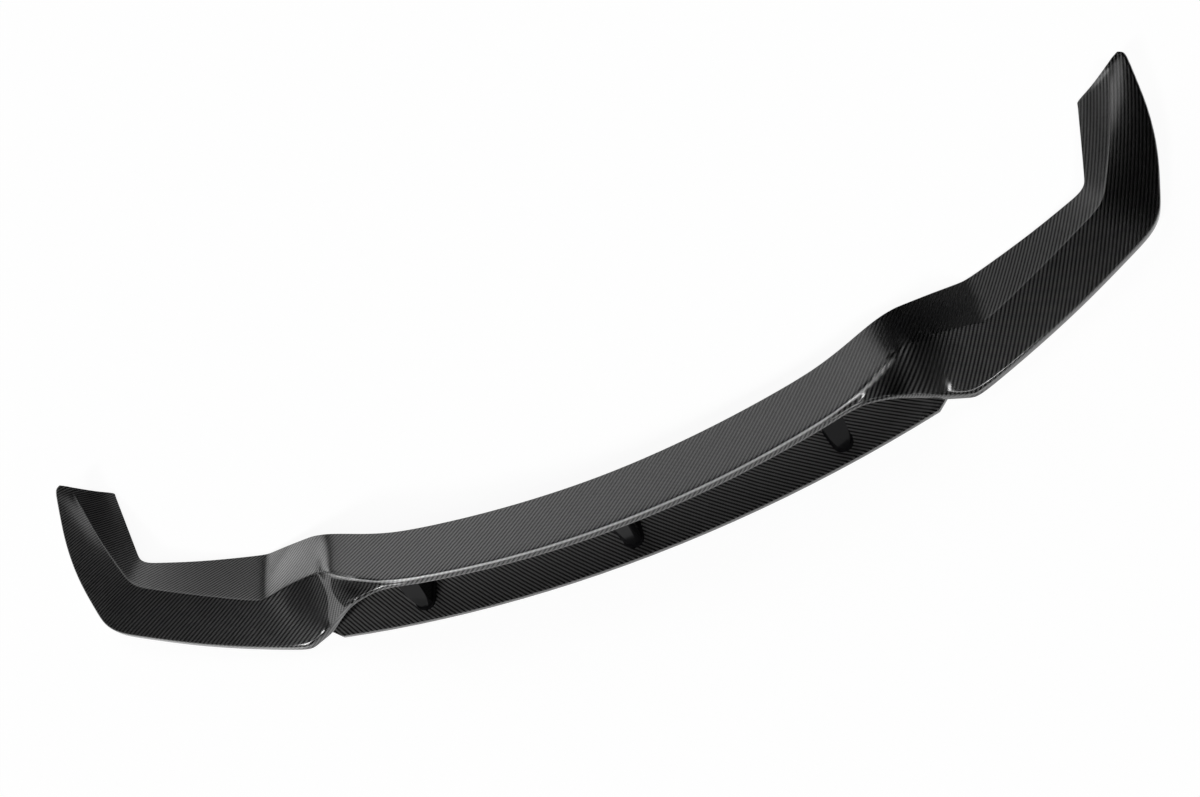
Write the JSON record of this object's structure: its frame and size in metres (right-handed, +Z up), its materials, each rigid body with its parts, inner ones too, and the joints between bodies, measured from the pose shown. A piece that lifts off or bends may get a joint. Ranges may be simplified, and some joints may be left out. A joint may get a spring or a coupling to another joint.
{
  "type": "front splitter lip",
  "caption": "Wide lip for the underside of a car's front bumper: a raised nose shelf over a flat lower blade, with a swept wing at each end.",
  "frame": {"origin": "on the ground plane, under the centre of the bounding box", "axes": "+X across the car towards the right of the picture, -Y to the car's front, +Z up"},
  "size_m": [1.71, 0.4459, 0.0877],
  "materials": {
    "shell_carbon": "clear-coated 2x2 twill carbon laminate",
    "blade_carbon": "clear-coated 2x2 twill carbon laminate",
    "support_black": "gloss black"
  },
  "bodies": {
    "root": {"lip_shell": "shell_carbon", "lower_blade": "blade_carbon", "support_left": "support_black", "support_centre": "support_black", "support_right": "support_black"}
  },
  "joints": []
}
